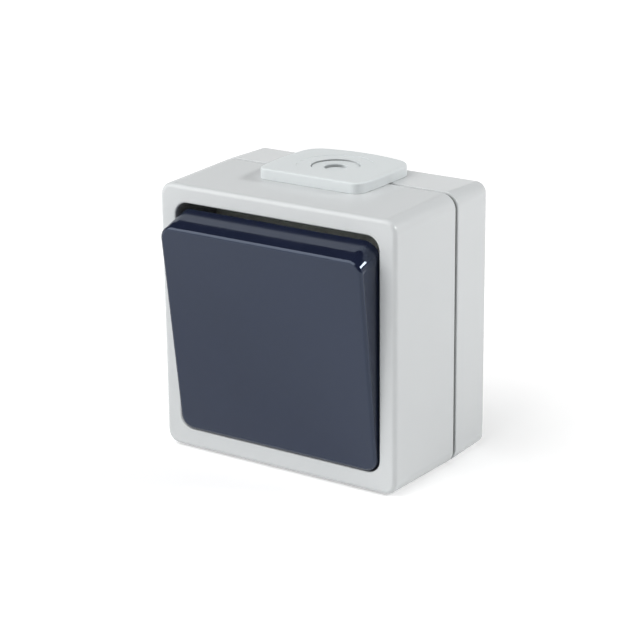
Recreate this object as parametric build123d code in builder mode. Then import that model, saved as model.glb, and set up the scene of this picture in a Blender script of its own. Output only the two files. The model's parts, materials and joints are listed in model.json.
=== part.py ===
"""Surface-mounted changeover light switch: a two-part housing with a joint seal and a cable
grommet, a rocker on a cradle, and the switch insert behind it. One STEP file for each node.

Frame: origin at the centre of the back face, X right, Y into the wall, Z up, millimetres.
A depth is the distance out from the wall, so a depth of d lies at Y = -d.
"""

import os
from math import cos, radians, sin, tan

from build123d import *

os.makedirs("parts", exist_ok=True)

# Housing: outline, joint line and walls.
face_width = 66.0
total_depth = 40.4
parting_depth = 14.65
parting_gap = 1.2
cover_draft = 1.16
base_draft = 2.15
corner_radius = 3.7
back_corner = 2.6
front_fillet = 1.1
rim_fillet = 0.3
back_fillet = 0.5
back_wall = 2.4
back_rim = 4.0
back_bar = 5.0
back_pocket_depth = 0.6
back_pocket_corner = 2.0
side_wall = 2.2
cover_wall = 1.8
front_skin = 2.5
shoulder_width = 1.4
tongue_height = 3.0
tongue_clearance = 0.1
gasket_recess = 0.5
post_rib = 1.2
post_rib_setback = 1.0

# Front ring, rocker well and well floor.
ring_side = 4.4
ring_top = 4.25
ring_bottom = 4.75
opening_corner = 3.4
opening_fillet = 0.4
well_wall = 1.4
well_depth = 16.4
well_relief = 1.6
floor_thickness = 2.0
stop_rib_inset = 12.75
stop_rib_width = 3.0
stop_rib_length = 3.2
stop_gap = 0.35

# Rocker: tilt at rest, place of its pivot behind the front ring, and its shell.
rest_tilt = 7.2
pivot_setback = 12.2
face_height = 16.1
skirt_depth = 8.1
end_flare = 13.2
side_flare = 0.3
rocker_side_gap = 0.35
rocker_end_gap = 0.29
rocker_corner = 4.0
rocker_face_corner = 3.3
rocker_fillet = 0.9
rocker_wall = 1.8
rocker_rib = 1.2
rocker_rib_x = 18.5
rocker_rib_height = 2.4

# Cradle under the rocker, on trunnions in the ears of the insert cap.
cradle_top = 8.0
cradle_plate = 2.0
cradle_width = 27.0
cradle_length = 16.0
cradle_corner = 1.4
boss_width = 16.0
boss_length = 14.0
boss_wall = 1.6
clip_x = 9.9
clip_thickness = 1.8
clip_length = 6.4
clip_barb = 0.6
clip_drop = 1.8
clip_clearance = 0.2
hub_width = 10.0
hub_length = 8.0
hub_back = 3.0
trunnion_radius = 2.0
running_clearance = 0.05
ear_gap = 0.4
ear_thickness = 2.2
ear_radius = 4.0

# Plunger and its barrel.
barrel_wall = 1.45
bore_end = 3.0
plunger_radius = 2.0
plunger_length = 8.0
nose_reach = 3.6
tip_gap = 0.1
spring_wire = 0.5
spring_radius = 1.5
spring_turns = 4
spring_end_gap = 0.03

# Contact lever: tilt at rest, bend of its arms, flanges on the pin, contact discs.
lever_tilt = 8.0
lever_bend = 5.0
lever_thickness = 0.8
lever_width = 5.0
lever_overhang = 1.5
flange_radius = 1.6
flange_gap = 0.4
pin_radius = 1.0
pin_gap = 0.3
pin_fit = 0.02
contact_reach = 10.0
contact_radius = 1.6
contact_height = 0.9
contact_chamfer = 0.35
contact_gap = 0.08

# Insert: socket, cap, seals, terminals and clamps.
socket_standoff = 2.6
socket_floor_thickness = 2.6
socket_side_wall = 3.0
socket_end_wall = 4.0
channel_width = 10.0
channel_height = 28.0
cap_thickness = 2.0
cap_margin = 2.6
cap_end_margin = 1.4
foot_margin = 0.75
seal_thickness = 1.0
aperture_gap = 0.6
aperture_height = 18.0
aperture_corner = 1.4
mat_thickness = 0.8
mat_gap = 0.5
collar_height = 1.8
collar_wall = 0.9
strip_width = 5.0
strip_thickness = 0.8
yoke_thickness = 0.8
yoke_radius = 1.8
clamp_reach = 9.0
clamp_size = 7.0
clamp_height = 7.3
clamp_sink = 1.4
clamp_window = 4.4
seat_clearance = 0.2
port_width = 4.4
port_height = 3.2
lug_x = 12.0
lug_overhang = 3.5
lug_width = 9.0
lug_back = 12.0
lug_thickness = 2.5

# Screws and holes.
screw_radius = 1.5
screw_clearance = 0.05
screw_head_radius = 2.8
screw_head_height = 2.2
screw_slot = 0.7
screw_slot_length = 3.0
cover_screw_length = 14.0
cover_screw_inset = 5.25
cover_post_radius = 3.8
insert_screw_length = 9.5
insert_post_radius = 3.5
hole_spare = 1.0
terminal_screw_radius = 1.75
terminal_head_radius = 2.6
terminal_screw_length = 3.6
wall_hole_radius = 2.3
wall_hole_spacing = 50.0
wall_pad_radius = 4.8
wall_pad_height = 0.8

# Grommet on the top, measured from the joint line.
grommet_width = 30.4
grommet_end_width = 28.4
grommet_front = 12.0
grommet_back_side = 11.0
grommet_back_middle = 13.6
grommet_front_corner = 2.6
grommet_back_corner = 5.5
grommet_gap = 0.07
grommet_thickness = 2.4
grommet_fillet = 0.5
neck_width = 19.8
neck_length = 11.8
neck_corner = 3.0
neck_clearance = 0.1
lip_overlap = 1.2
lip_thickness = 1.5
dish_radius = 9.4
dish_depth = 0.12
step_radius = 6.0
step_depth = 0.5
tear_groove = 0.3
tear_groove_depth = 0.4
membrane = 1.8
hollow_radius = 4.7
cable_hole_radius = 2.9

# Housing sizes that follow.
base_rim = parting_depth - parting_gap / 2
cover_rim = parting_depth + parting_gap / 2
base_rim_width = face_width + 2 * base_rim * tan(radians(base_draft))
cover_rim_width = face_width + 2 * (total_depth - cover_rim) * tan(radians(cover_draft))
base_inner = face_width - 2 * side_wall
cover_inner = face_width - 2 * cover_wall
tongue_width = base_rim_width - 2 * shoulder_width
tongue_end = base_rim + tongue_height
opening = face_width - 2 * ring_side
opening_height = face_width - ring_top - ring_bottom
opening_lift = (ring_bottom - ring_top) / 2
well_height = opening_height + 2 * well_relief
floor_front = total_depth - well_depth
floor_back = floor_front - floor_thickness
back_pocket = (face_width - 2 * back_rim - back_bar) / 2

# Rocker sizes that follow, measured from the pivot along the rocker's own axis.
tilt_sin = sin(radians(rest_tilt))
tilt_cos = cos(radians(rest_tilt))
pivot_depth = total_depth - pivot_setback
skirt_height = face_height - skirt_depth
rocker_skirt_width = opening - 2 * rocker_side_gap
rocker_width = rocker_skirt_width - 2 * skirt_depth * tan(radians(side_flare))
rocker_length = 2 * (opening_height / 2 - rocker_end_gap - face_height * tilt_sin) / tilt_cos
rocker_skirt_length = rocker_length + 2 * skirt_depth * tan(radians(end_flare))
rocker_inside = face_height - rocker_wall
stop_rib_top = pivot_depth - rocker_skirt_length / 2 * tilt_sin + skirt_height * tilt_cos - stop_gap
clip_foot = cradle_top - cradle_plate - clip_drop
ear_inner = hub_width / 2 + ear_gap
ear_outer = ear_inner + ear_thickness

# Insert sizes that follow.
cap_front = floor_back - seal_thickness
socket_front = cap_front - cap_thickness
socket_back = back_wall + socket_standoff
socket_floor = socket_back + socket_floor_thickness
strip_top = socket_floor + strip_thickness
clamp_x = channel_width / 2 + clamp_reach
clamp_back = socket_floor - clamp_sink
clamp_front = clamp_back + clamp_height
strip_end = clamp_x + clamp_size / 2
socket_width = 2 * (strip_end + socket_side_wall)
socket_height = channel_height + 2 * socket_end_wall
slot_end = strip_end - clamp_size
foot_x = (channel_width / 2 + slot_end) / 2
foot_width = slot_end - channel_width / 2 - 2 * foot_margin
cap_width = 2 * (ear_outer + cap_margin)
cap_height = channel_height + 2 * cap_end_margin
aperture_width = 2 * (ear_outer + aperture_gap)
lug_z = socket_height / 2 + lug_overhang
lug_front = lug_back + lug_thickness

# Lever and plunger sizes that follow.
bend_sin = sin(radians(lever_bend))
bend_cos = cos(radians(lever_bend))
lever_axis_depth = strip_top + flange_radius + flange_gap
lever_back = pin_radius + pin_gap
lever_arm = contact_reach + lever_overhang
yoke_inner = lever_width / 2 + pin_gap
yoke_outer = yoke_inner + yoke_thickness
closed_tilt = radians(lever_tilt - lever_bend)
closed_rise = (lever_back + contact_reach * bend_sin) * cos(radians(lever_tilt))
closed_drop = contact_reach * bend_cos * sin(radians(lever_tilt))
closed_face = lever_axis_depth + closed_rise - closed_drop - contact_height * cos(closed_tilt)
fixed_contact_top = closed_face - contact_radius * sin(closed_tilt) - contact_gap
lever_front = lever_axis_depth + lever_back + lever_thickness / bend_cos
plunger_tip = lever_front + tip_gap - pivot_depth
plunger_head = plunger_tip + plunger_length
barrel_end = plunger_tip + nose_reach
barrel_radius = plunger_radius + running_clearance + barrel_wall

# Grommet heights that follow.
grommet_under = base_rim_width / 2 + grommet_gap
grommet_top = grommet_under + grommet_thickness
lip_top = base_inner / 2 - neck_clearance
lip_under = lip_top - lip_thickness
notch_width = neck_width + 2 * neck_clearance
notch_length = neck_length + 2 * neck_clearance

# Places of screws, holes and clamps, as seen from the front, round the middle of the opening
# except for the wall holes.
cover_screw_offset = opening_height / 2 - cover_screw_inset
cover_points = [(cover_screw_offset, cover_screw_offset), (-cover_screw_offset, -cover_screw_offset)]
lug_points = [(-lug_x, lug_z), (lug_x, -lug_z)]
wall_points = [(0, wall_hole_spacing / 2), (0, -wall_hole_spacing / 2)]
clamp_points = [(-clamp_x, 0), (clamp_x, contact_reach), (clamp_x, -contact_reach)]
foot_points = [(-foot_x, 0), (foot_x, contact_reach), (foot_x, -contact_reach)]
stop_rib_x = opening / 2 - stop_rib_inset
rib_z = well_height / 2 - stop_rib_length / 2
rib_points = [(stop_rib_x, rib_z), (-stop_rib_x, rib_z), (stop_rib_x, -rib_z), (-stop_rib_x, -rib_z)]

# Planes: looking at the wall, on the middle of the opening, from the side, down on the housing,
# on the rocker and on the lever.
front_view = Plane(origin=(0, 0, 0), x_dir=(1, 0, 0), z_dir=(0, -1, 0))
well_view = Plane(origin=(0, 0, opening_lift), x_dir=(1, 0, 0), z_dir=(0, -1, 0))
side_view = Plane(origin=(0, 0, opening_lift), x_dir=(0, 0, 1), z_dir=(1, 0, 0))
top_view = Plane(origin=(0, -parting_depth, 0), x_dir=(1, 0, 0), z_dir=(0, 0, 1))
housing_side = Plane(origin=(0, 0, 0), x_dir=(0, 0, 1), z_dir=(1, 0, 0))
pivot = Vector(0, -pivot_depth, opening_lift)
rocker_out = Vector(0, -tilt_cos, -tilt_sin)
rocker_up = Vector(0, -tilt_sin, tilt_cos)
rocker_view = Plane(origin=pivot, x_dir=(1, 0, 0), z_dir=rocker_out)
rocker_side = Plane(origin=pivot, x_dir=rocker_up, z_dir=(1, 0, 0))
lever_axis = Vector(0, -lever_axis_depth, opening_lift)
lever_out = Vector(0, -cos(radians(lever_tilt)), sin(radians(lever_tilt)))
lever_up = Vector(0, sin(radians(lever_tilt)), cos(radians(lever_tilt)))
lever_side = Plane(origin=lever_axis, x_dir=lever_up, z_dir=(1, 0, 0))

# Rear half of the housing.
with BuildPart() as base_box:
    with BuildSketch(front_view):
        RectangleRounded(face_width, face_width, back_corner)
    with BuildSketch(front_view.offset(base_rim)):
        RectangleRounded(base_rim_width, base_rim_width, corner_radius)
    loft()
    fillet(base_box.faces().sort_by(Axis.Y)[-1].edges(), radius=back_fillet)
    fillet(base_box.faces().sort_by(Axis.Y)[0].edges(), radius=rim_fillet)
    with BuildSketch(front_view.offset(back_wall)):
        RectangleRounded(tongue_width, tongue_width, corner_radius - shoulder_width)
    extrude(amount=tongue_end - back_wall)
    with BuildSketch(front_view.offset(back_wall)):
        RectangleRounded(base_inner, base_inner, corner_radius - side_wall)
    extrude(amount=tongue_end - back_wall, mode=Mode.SUBTRACT)
    # Posts for the cover screws, each tied to the side wall by a rib.
    with BuildSketch(well_view):
        with Locations(*cover_points):
            Circle(cover_post_radius)
    extrude(amount=floor_back)
    with BuildSketch(well_view):
        for side in (1, -1):
            rib_start = side * cover_screw_offset
            rib_stop = side * (base_inner + side_wall) / 2
            with Locations(((rib_start + rib_stop) / 2, rib_start)):
                Rectangle(abs(rib_stop - rib_start), post_rib)
    extrude(amount=base_rim - post_rib_setback)
    # Posts for the insert, and pads round the wall screw holes.
    with BuildSketch(well_view):
        with Locations(*lug_points):
            Circle(insert_post_radius)
    extrude(amount=lug_back)
    with BuildSketch(front_view):
        with Locations(*wall_points):
            Circle(wall_pad_radius)
    extrude(amount=back_wall + wall_pad_height)
    with BuildSketch(well_view.offset(floor_back)):
        with Locations(*cover_points):
            Circle(screw_radius + screw_clearance)
    extrude(amount=floor_thickness - cover_screw_length - hole_spare, mode=Mode.SUBTRACT)
    with BuildSketch(well_view.offset(lug_back)):
        with Locations(*lug_points):
            Circle(screw_radius + screw_clearance)
    extrude(amount=lug_thickness - insert_screw_length - hole_spare, mode=Mode.SUBTRACT)
    with BuildSketch(front_view):
        with Locations(*wall_points):
            Circle(wall_hole_radius)
    extrude(amount=back_wall + wall_pad_height, mode=Mode.SUBTRACT)
    # Shallow pockets in the back, which leave a rim, a cross and rings to lie on the wall.
    with BuildSketch(front_view):
        with GridLocations(back_pocket + back_bar, back_pocket + back_bar, 2, 2):
            RectangleRounded(back_pocket, back_pocket, back_pocket_corner)
        with Locations(*wall_points):
            Circle(wall_pad_radius, mode=Mode.SUBTRACT)
    extrude(amount=back_pocket_depth, mode=Mode.SUBTRACT)
    # Half of the cut-out that holds the grommet's neck.
    with BuildSketch(top_view.offset(lip_under)):
        RectangleRounded(notch_width, notch_length, neck_corner)
    extrude(amount=grommet_top - lip_under, mode=Mode.SUBTRACT)
base_box.part.label = "base_box"
export_step(base_box.part, "parts/base_box.step")

# Front half of the housing.
with BuildPart() as front_cover:
    with BuildSketch(front_view.offset(cover_rim)):
        RectangleRounded(cover_rim_width, cover_rim_width, corner_radius)
    extrude(amount=total_depth - cover_rim, taper=cover_draft)
    fillet(front_cover.faces().sort_by(Axis.Y)[0].edges(), radius=front_fillet)
    with BuildSketch(front_view.offset(cover_rim)):
        RectangleRounded(cover_inner, cover_inner, corner_radius - side_wall)
    extrude(amount=total_depth - front_skin - cover_rim, mode=Mode.SUBTRACT)
    with BuildSketch(front_view.offset(cover_rim)):
        rebate_width = tongue_width + 2 * tongue_clearance
        RectangleRounded(rebate_width, rebate_width, corner_radius - shoulder_width + tongue_clearance)
    extrude(amount=tongue_end + tongue_clearance - cover_rim, mode=Mode.SUBTRACT)
    # Well for the rocker, higher at its floor than at the ring. Its ends run into the cover's walls.
    with BuildSketch(well_view.offset(floor_back)):
        RectangleRounded(opening + 2 * well_wall, cover_inner + cover_wall, opening_corner + well_wall)
    extrude(amount=total_depth - front_skin / 2 - floor_back)
    with BuildSketch(well_view.offset(floor_front)):
        RectangleRounded(opening, well_height, opening_corner)
    with BuildSketch(well_view.offset(total_depth)):
        RectangleRounded(opening, opening_height, opening_corner)
    loft(mode=Mode.SUBTRACT)
    ring_edges = front_cover.faces().sort_by(Axis.Y)[0].inner_wires()[0].edges()
    fillet(ring_edges, radius=opening_fillet)
    # Ribs on the well floor that the rocker's skirt comes down to at each end of its travel.
    with BuildSketch(well_view.offset(floor_back)):
        with Locations(*rib_points):
            Rectangle(stop_rib_width, stop_rib_length)
    extrude(amount=stop_rib_top - floor_back)
    with BuildSketch(well_view.offset(floor_back)):
        RectangleRounded(aperture_width, aperture_height, aperture_corner)
        with Locations(*cover_points):
            Circle(screw_radius + seat_clearance)
    extrude(amount=floor_thickness, mode=Mode.SUBTRACT)
    with BuildSketch(top_view.offset(lip_under)):
        RectangleRounded(notch_width, notch_length, neck_corner)
    extrude(amount=grommet_top - lip_under, mode=Mode.SUBTRACT)
front_cover.part.label = "front_cover"
export_step(front_cover.part, "parts/front_cover.step")

# Seal in the joint line, open where the grommet's neck passes.
with BuildPart() as joint_gasket:
    with BuildSketch(front_view.offset(base_rim)):
        gasket_width = base_rim_width - 2 * gasket_recess
        RectangleRounded(gasket_width, gasket_width, corner_radius - gasket_recess)
        gasket_inner = tongue_width + tongue_clearance
        gasket_corner = corner_radius - shoulder_width + tongue_clearance / 2
        RectangleRounded(gasket_inner, gasket_inner, gasket_corner, mode=Mode.SUBTRACT)
        with Locations((0, gasket_width / 2)):
            Rectangle(notch_width, 4 * shoulder_width, mode=Mode.SUBTRACT)
    extrude(amount=parting_gap)
joint_gasket.part.label = "joint_gasket"
export_step(joint_gasket.part, "parts/joint_gasket.step")

# Cable grommet: outer plate, neck in the cut-out, lip inside, stepped hole.
with BuildPart() as cable_grommet:
    with BuildSketch(top_view.offset(face_width / 2)):
        with BuildLine():
            half = grommet_width / 2
            end_half = grommet_end_width / 2
            side_middle = (grommet_back_side - grommet_front) / 2
            back_right = (end_half, grommet_back_side)
            back_left = (-end_half, grommet_back_side)
            Line((-end_half, -grommet_front), (end_half, -grommet_front))
            ThreePointArc((end_half, -grommet_front), (half, side_middle), back_right)
            ThreePointArc(back_right, (0, grommet_back_middle), back_left)
            ThreePointArc(back_left, (-half, side_middle), (-end_half, -grommet_front))
        make_face()
        fillet(vertices().sort_by(Axis.Y)[:2], radius=grommet_front_corner)
        fillet(vertices().sort_by(Axis.Y)[-2:], radius=grommet_back_corner)
    extrude(amount=grommet_top - face_width / 2)
    fillet(cable_grommet.faces().sort_by(Axis.Z)[-1].edges(), radius=grommet_fillet)
    # The plate's underside follows the slopes of both halves of the housing.
    with BuildSketch(housing_side):
        with BuildLine():
            Polyline(
                (lip_top, 0),
                (face_width / 2 + grommet_gap, 0),
                (base_rim_width / 2 + grommet_gap, base_rim),
                (cover_rim_width / 2 + grommet_gap, cover_rim),
                (face_width / 2 + grommet_gap, total_depth),
                (lip_top, total_depth),
                close=True,
            )
        make_face()
    extrude(amount=grommet_width, both=True, mode=Mode.SUBTRACT)
    with BuildSketch(top_view.offset(lip_top)):
        RectangleRounded(neck_width, neck_length, neck_corner - neck_clearance)
    extrude(amount=grommet_under - lip_top)
    with BuildSketch(top_view.offset(lip_under)):
        RectangleRounded(neck_width + 2 * lip_overlap, neck_length + 2 * lip_overlap, neck_corner)
    extrude(amount=lip_thickness)
    with BuildSketch(top_view.offset(grommet_top)):
        Circle(dish_radius)
    extrude(amount=-dish_depth, mode=Mode.SUBTRACT)
    with BuildSketch(top_view.offset(grommet_top)):
        Circle(step_radius)
    extrude(amount=-step_depth, mode=Mode.SUBTRACT)
    with BuildSketch(top_view.offset(grommet_top)):
        Circle(step_radius)
        Circle(step_radius - tear_groove, mode=Mode.SUBTRACT)
    extrude(amount=-step_depth - tear_groove_depth, mode=Mode.SUBTRACT)
    with BuildSketch(top_view.offset(lip_under)):
        Circle(hollow_radius)
    extrude(amount=grommet_top - step_depth - membrane - lip_under, mode=Mode.SUBTRACT)
    with BuildSketch(top_view.offset(lip_under)):
        Circle(cable_hole_radius)
    extrude(amount=grommet_top - lip_under, mode=Mode.SUBTRACT)
cable_grommet.part.label = "cable_grommet"
export_step(cable_grommet.part, "parts/cable_grommet.step")

# Screws that hold the cover on the base.
with BuildPart() as cover_screws:
    with BuildSketch(well_view.offset(floor_front)):
        with Locations(*cover_points):
            Circle(screw_head_radius)
    extrude(amount=screw_head_height)
    chamfer(cover_screws.faces().sort_by(Axis.Y)[:2].edges(), length=screw_head_height / 4)
    with BuildSketch(well_view.offset(floor_front)):
        with Locations(*cover_points):
            Circle(screw_radius)
    extrude(amount=-cover_screw_length)
    with BuildSketch(well_view.offset(floor_front + screw_head_height)):
        with Locations(*cover_points):
            Rectangle(screw_slot_length, screw_slot)
            Rectangle(screw_slot, screw_slot_length)
    extrude(amount=-screw_head_height / 2, mode=Mode.SUBTRACT)
cover_screws.part.label = "cover_screws"
export_step(cover_screws.part, "parts/cover_screws.step")

# Sealing mat on the well floor, with a collar round the opening to the insert.
with BuildPart() as well_seal:
    with BuildSketch(well_view.offset(floor_front)):
        mat_width = opening - 2 * mat_gap
        mat_height = well_height - 2 * mat_gap
        RectangleRounded(mat_width, mat_height, opening_corner - mat_gap)
        with Locations(*rib_points):
            Rectangle(stop_rib_width + 2 * mat_gap, stop_rib_length + 2 * mat_gap, mode=Mode.SUBTRACT)
        with Locations(*cover_points):
            Circle(screw_head_radius + mat_gap, mode=Mode.SUBTRACT)
    extrude(amount=mat_thickness)
    with BuildSketch(well_view.offset(floor_front)):
        collar_width = aperture_width + 2 * collar_wall
        RectangleRounded(collar_width, aperture_height + 2 * collar_wall, aperture_corner + collar_wall)
    extrude(amount=mat_thickness + collar_height)
    with BuildSketch(well_view.offset(floor_front)):
        RectangleRounded(aperture_width, aperture_height, aperture_corner)
    extrude(amount=mat_thickness + collar_height, mode=Mode.SUBTRACT)
well_seal.part.label = "well_seal"
export_step(well_seal.part, "parts/well_seal.step")

# Rocker: a drafted shell with a boss, clip legs and stiffening ribs inside.
with BuildPart() as rocker_button:
    with BuildSketch(rocker_view.offset(skirt_height)):
        RectangleRounded(rocker_skirt_width, rocker_skirt_length, rocker_corner)
    with BuildSketch(rocker_view.offset(face_height)):
        RectangleRounded(rocker_width, rocker_length, rocker_face_corner)
    loft()
    front_face = rocker_button.faces().sort_by(Axis(pivot, rocker_out))[-1]
    fillet(front_face.edges(), radius=rocker_fillet)
    inner_corner = rocker_corner - rocker_wall
    with BuildSketch(rocker_view.offset(skirt_height)):
        skirt_inner_length = rocker_skirt_length - 2 * rocker_wall
        RectangleRounded(rocker_skirt_width - 2 * rocker_wall, skirt_inner_length, inner_corner)
    with BuildSketch(rocker_view.offset(rocker_inside)):
        inside_length = rocker_length - 2 * rocker_wall
        RectangleRounded(rocker_width - 2 * rocker_wall, inside_length, inner_corner)
    loft(mode=Mode.SUBTRACT)
    with BuildSketch(rocker_view.offset(face_height - rocker_wall / 2)):
        with Locations((rocker_rib_x, 0), (-rocker_rib_x, 0)):
            Rectangle(rocker_rib, rocker_length - rocker_wall)
    extrude(amount=-rocker_rib_height - rocker_wall / 2)
    with BuildSketch(rocker_view.offset(cradle_top)):
        Rectangle(boss_width, boss_length)
        Rectangle(boss_width - 2 * boss_wall, boss_length - 2 * boss_wall, mode=Mode.SUBTRACT)
    extrude(amount=face_height - rocker_wall / 2 - cradle_top)
    with BuildSketch(rocker_view.offset(clip_foot)):
        with Locations((clip_x, 0), (-clip_x, 0)):
            Rectangle(clip_thickness, clip_length)
    extrude(amount=face_height - rocker_wall / 2 - clip_foot)
    # Barbs on the clip legs, under the cradle's plate.
    with BuildSketch(rocker_view.offset(clip_foot)):
        barb_x = clip_x + clip_barb / 2
        with Locations((barb_x, 0), (-barb_x, 0)):
            Rectangle(clip_thickness + clip_barb, clip_length)
    extrude(amount=cradle_top - cradle_plate - running_clearance - clip_foot)
rocker_button.part.label = "rocker_button"
export_step(rocker_button.part, "parts/rocker_button.step")

# Cradle that the rocker clips on, with trunnions in the ears and a barrel for the plunger.
with BuildPart() as rocker_cradle:
    with BuildSketch(rocker_view.offset(cradle_top)):
        RectangleRounded(cradle_width, cradle_length, cradle_corner)
        with Locations((clip_x, 0), (-clip_x, 0)):
            slot_width = clip_thickness + 2 * clip_clearance
            Rectangle(slot_width, clip_length + 2 * clip_clearance, mode=Mode.SUBTRACT)
    extrude(amount=-cradle_plate)
    with BuildSketch(rocker_view.offset(-hub_back)):
        RectangleRounded(hub_width, hub_length, ear_thickness / 2)
    extrude(amount=cradle_top - cradle_plate + hub_back)
    with BuildSketch(rocker_side):
        Circle(trunnion_radius)
    extrude(amount=ear_outer, both=True)
    with BuildSketch(rocker_view.offset(barrel_end)):
        Circle(barrel_radius)
    extrude(amount=-barrel_end)
    with BuildSketch(rocker_view.offset(barrel_end)):
        Circle(plunger_radius + running_clearance)
    extrude(amount=bore_end - barrel_end, mode=Mode.SUBTRACT)
rocker_cradle.part.label = "rocker_cradle"
export_step(rocker_cradle.part, "parts/rocker_cradle.step")

# Plunger with a round nose, and the coil spring behind it in the barrel.
with BuildPart() as plunger:
    with BuildSketch(rocker_side):
        with BuildLine():
            nose = plunger_tip + plunger_radius
            slope = cos(radians(45)) * plunger_radius
            Line((0, plunger_head), (0, plunger_tip))
            ThreePointArc((0, plunger_tip), (slope, nose - slope), (plunger_radius, nose))
            Line((plunger_radius, nose), (plunger_radius, plunger_head))
            Line((plunger_radius, plunger_head), (0, plunger_head))
        make_face()
    revolve(axis=Axis(pivot, rocker_out))
plunger.part.label = "plunger"
export_step(plunger.part, "parts/plunger.step")

spring_start = plunger_head + spring_wire / 2 + spring_end_gap
spring_height = bore_end - plunger_head - spring_wire - 2 * spring_end_gap
with BuildPart() as plunger_spring:
    with BuildLine() as coil:
        Helix(
            pitch=spring_height / spring_turns,
            height=spring_height,
            radius=spring_radius,
            center=pivot + rocker_out * spring_start,
            direction=rocker_out,
        )
    with BuildSketch(Plane(origin=coil.line @ 0, z_dir=coil.line % 0)):
        Circle(spring_wire / 2)
    sweep(path=coil.line, is_frenet=True)
plunger_spring.part.label = "plunger_spring"
export_step(plunger_spring.part, "parts/plunger_spring.step")

# Socket: a block with a channel for the lever, pockets for the clamps and lugs on the posts.
with BuildPart() as insert_socket:
    with BuildSketch(well_view.offset(socket_back)):
        RectangleRounded(socket_width, socket_height, socket_side_wall / 2)
    extrude(amount=socket_front - socket_back)
    with BuildSketch(well_view.offset(lug_back)):
        lug_length = 2 * lug_overhang + lug_width / 2
        lug_centre = lug_z + lug_width / 2 - lug_length / 2
        with Locations((-lug_x, lug_centre), (lug_x, -lug_centre)):
            RectangleRounded(lug_width, lug_length, lug_width / 4)
    extrude(amount=lug_thickness)
    with BuildSketch(well_view.offset(socket_floor)):
        Rectangle(channel_width, channel_height)
        with Locations(*foot_points):
            slot_length = slot_end - channel_width / 2 + 2 * seat_clearance
            Rectangle(slot_length, strip_width + 2 * seat_clearance)
    extrude(amount=socket_front - socket_floor, mode=Mode.SUBTRACT)
    with BuildSketch(well_view.offset(clamp_back)):
        with Locations(*clamp_points):
            Rectangle(clamp_size + 2 * seat_clearance, clamp_size + 2 * seat_clearance)
    extrude(amount=socket_front - clamp_back, mode=Mode.SUBTRACT)
    # Wire ports from the clamps out through the sides.
    port_depth = strip_top + seat_clearance + port_height / 2
    with BuildSketch(side_view.offset(clamp_x)):
        with Locations((contact_reach, port_depth), (-contact_reach, port_depth)):
            Rectangle(port_width, port_height)
    extrude(amount=clamp_size, mode=Mode.SUBTRACT)
    with BuildSketch(side_view.offset(-clamp_x)):
        with Locations((0, port_depth)):
            Rectangle(port_width, port_height)
    extrude(amount=-clamp_size, mode=Mode.SUBTRACT)
    with BuildSketch(well_view.offset(lug_back)):
        with Locations(*lug_points):
            Circle(screw_radius + seat_clearance)
    extrude(amount=lug_thickness, mode=Mode.SUBTRACT)
insert_socket.part.label = "insert_socket"
export_step(insert_socket.part, "parts/insert_socket.step")

# Cap on the socket: bearing ears for the cradle, feet on the terminal strips, a slot for the barrel.
with BuildPart() as insert_cap:
    with BuildSketch(well_view.offset(socket_front)):
        RectangleRounded(cap_width, cap_height, cap_thickness)
        barrel_swing = (pivot_depth - socket_front) * tilt_sin
        slot_height = 2 * (barrel_radius / tilt_cos + barrel_swing + ear_gap)
        Rectangle(2 * (barrel_radius + ear_gap), slot_height, mode=Mode.SUBTRACT)
    extrude(amount=cap_thickness)
    with BuildSketch(well_view.offset(strip_top)):
        with Locations(*foot_points):
            Rectangle(foot_width, strip_width)
    extrude(amount=socket_front + cap_thickness / 2 - strip_top)
    for side in (1, -1):
        with BuildSketch(side_view.offset(side * ear_inner)):
            with Locations((0, (pivot_depth + socket_front) / 2)):
                Rectangle(2 * ear_radius, pivot_depth - socket_front)
            with Locations((0, pivot_depth)):
                Circle(ear_radius)
                Circle(trunnion_radius + running_clearance, mode=Mode.SUBTRACT)
        extrude(amount=side * ear_thickness)
insert_cap.part.label = "insert_cap"
export_step(insert_cap.part, "parts/insert_cap.step")

# Flat seal between the cap and the well floor.
with BuildPart() as insert_seal:
    with BuildSketch(well_view.offset(cap_front)):
        RectangleRounded(cap_width - mat_gap, cap_height - mat_gap, cap_thickness)
        RectangleRounded(aperture_width, aperture_height, aperture_corner, mode=Mode.SUBTRACT)
    extrude(amount=seal_thickness)
insert_seal.part.label = "insert_seal"
export_step(insert_seal.part, "parts/insert_seal.step")

# Screws that hold the insert on the base posts.
with BuildPart() as insert_screws:
    with BuildSketch(well_view.offset(lug_front)):
        with Locations(*lug_points):
            Circle(screw_head_radius)
    extrude(amount=screw_head_height)
    with BuildSketch(well_view.offset(lug_front)):
        with Locations(*lug_points):
            Circle(screw_radius)
    extrude(amount=-insert_screw_length)
    with BuildSketch(well_view.offset(lug_front + screw_head_height)):
        with Locations(*lug_points):
            Rectangle(screw_slot_length, screw_slot)
            Rectangle(screw_slot, screw_slot_length)
    extrude(amount=-screw_head_height / 2, mode=Mode.SUBTRACT)
insert_screws.part.label = "insert_screws"
export_step(insert_screws.part, "parts/insert_screws.step")

# Contact lever: a bent strip with two flanges that turn on the pin.
arm_end = (lever_arm * bend_cos, lever_back + lever_arm * bend_sin)
arm_tip = (arm_end[0] - lever_thickness * bend_sin, arm_end[1] + lever_thickness * bend_cos)
with BuildPart() as contact_lever:
    with BuildSketch(lever_side):
        with BuildLine():
            Polyline(
                (0, lever_back),
                arm_end,
                arm_tip,
                (0, lever_back + lever_thickness / bend_cos),
                (-arm_tip[0], arm_tip[1]),
                (-arm_end[0], arm_end[1]),
                close=True,
            )
        make_face()
    extrude(amount=lever_width / 2, both=True)
    for side in (1, -1):
        with BuildSketch(lever_side.offset(side * lever_width / 2)):
            flange_top = lever_back + lever_thickness / 2
            Circle(flange_radius)
            with Locations((0, flange_top / 2)):
                Rectangle(2 * flange_radius, flange_top)
            Circle(pin_radius + running_clearance, mode=Mode.SUBTRACT)
        extrude(amount=-side * lever_thickness)
contact_lever.part.label = "contact_lever"
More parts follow.
